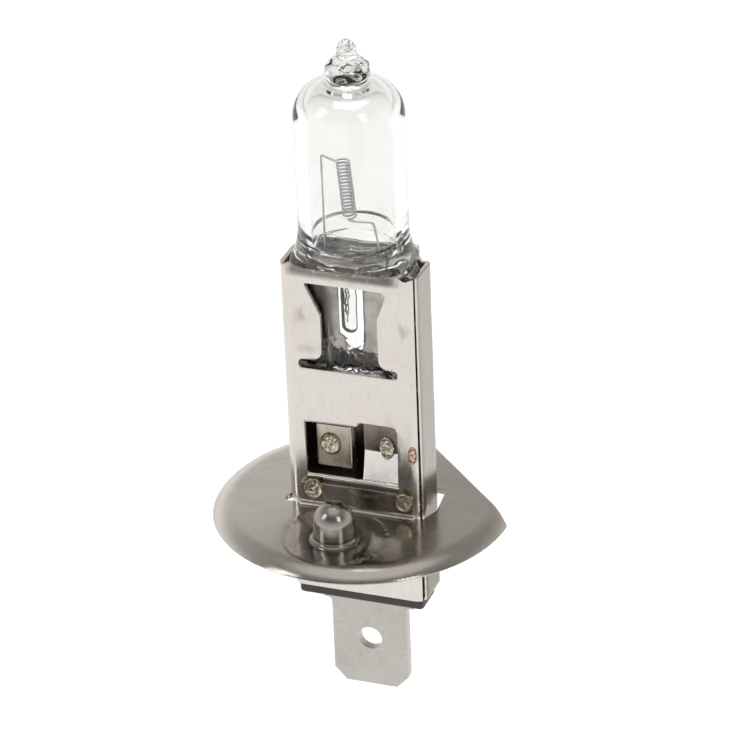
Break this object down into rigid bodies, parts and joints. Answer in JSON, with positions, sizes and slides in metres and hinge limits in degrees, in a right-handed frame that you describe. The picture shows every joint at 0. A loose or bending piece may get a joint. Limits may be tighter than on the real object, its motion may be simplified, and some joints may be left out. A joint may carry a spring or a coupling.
{
  "type": "headlight bulb",
  "caption": "Halogen headlight bulb: clear quartz capsule with a coil filament in a windowed metal sleeve, on a flat-sided flange with a locating nub, above a blade terminal.",
  "frame": {"origin": "centre of the flange's upper face, on the axis of the lamp", "axes": "+Z from the flange to the sealed tip of the glass, -Y towards the locating nub, +X along the sleeve's width"},
  "size_m": [0.0238, 0.0238, 0.0568],
  "materials": {
    "quartz": "clear fused quartz, polished",
    "tungsten": "drawn grey wire",
    "molybdenum": "rolled, satin grey",
    "sleeve_sheet": "nickel-plated sheet, semi-bright",
    "flange_sheet": "nickel-plated sheet, bright, mirror-like on the flat",
    "insulator": "dark brown phenolic moulding, satin",
    "blade": "nickel-plated, satin",
    "contact": "nickel-plated strip, warm tint from welding",
    "weld": "resistance-weld nugget with straw heat tint"
  },
  "bodies": {
    "root": {"quartz_capsule": "quartz", "filament_coil": "tungsten", "long_lead": "tungsten", "short_lead": "tungsten", "left_foil": "molybdenum", "right_foil": "molybdenum", "left_outer_lead": "molybdenum", "right_outer_lead": "molybdenum", "sleeve": "sleeve_sheet", "flange": "flange_sheet", "insulator": "insulator", "blade_terminal": "blade", "contact_strip": "contact", "flange_welds": "weld", "seam_weld": "weld", "contact_weld": "weld", "earth_weld": "weld"}
  },
  "joints": []
}
